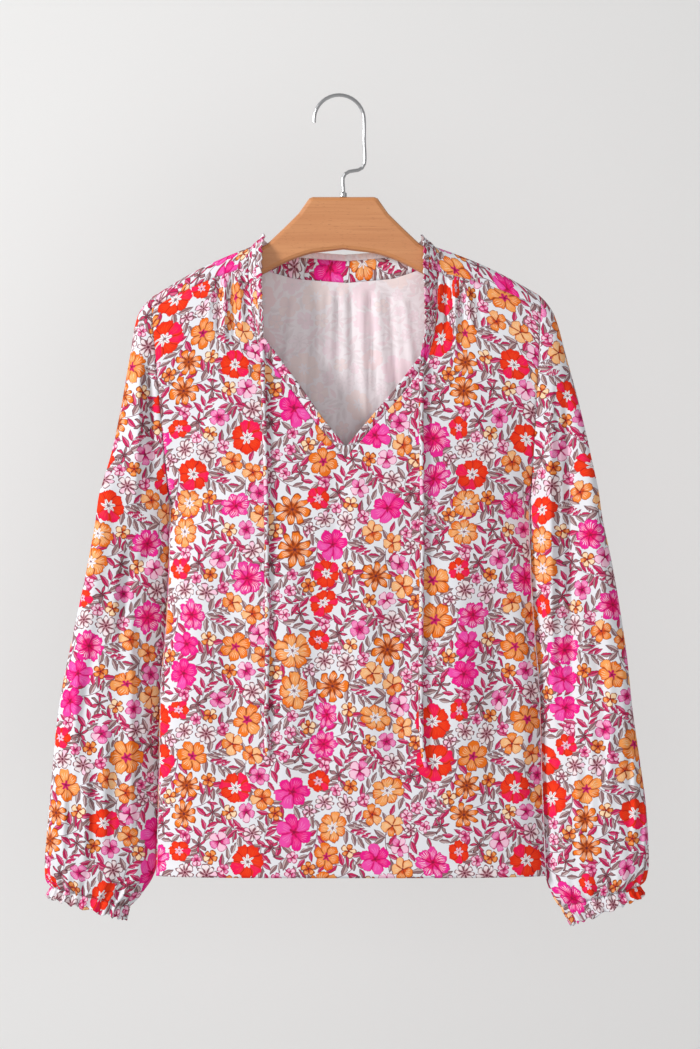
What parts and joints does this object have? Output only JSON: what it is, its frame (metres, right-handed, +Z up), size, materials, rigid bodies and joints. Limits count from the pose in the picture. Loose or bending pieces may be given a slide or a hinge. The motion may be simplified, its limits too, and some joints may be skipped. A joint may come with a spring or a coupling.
{
  "type": "blouse on a wooden hanger",
  "caption": "Long-sleeved blouse with a split neck, neckband frill, gathered shoulders and cuffs and two hanging ties, on a flat wooden hanger with a wire hook.",
  "frame": {"origin": "the top of the inside of the hook, where a rail or nail carries the hanger", "axes": "+X to the right as the front is looked at, +Y towards the back of the blouse, +Z up"},
  "size_m": [0.606, 0.0569, 0.8366],
  "materials": {
    "printed_cloth": "matt printed viscose",
    "beech": "satin varnish",
    "steel_wire": "polished"
  },
  "bodies": {
    "root": {"front": "printed_cloth", "back": "printed_cloth", "sleeve_left": "printed_cloth", "sleeve_right": "printed_cloth", "cuff_left": "printed_cloth", "cuff_right": "printed_cloth", "neckband": "printed_cloth", "neck_frill": "printed_cloth", "split_binding_left": "printed_cloth", "split_binding_right": "printed_cloth", "tie_left": "printed_cloth", "tie_right": "printed_cloth", "hanger_board": "beech", "hanger_hook": "steel_wire", "hanger_ferrule": "steel_wire"}
  },
  "joints": []
}
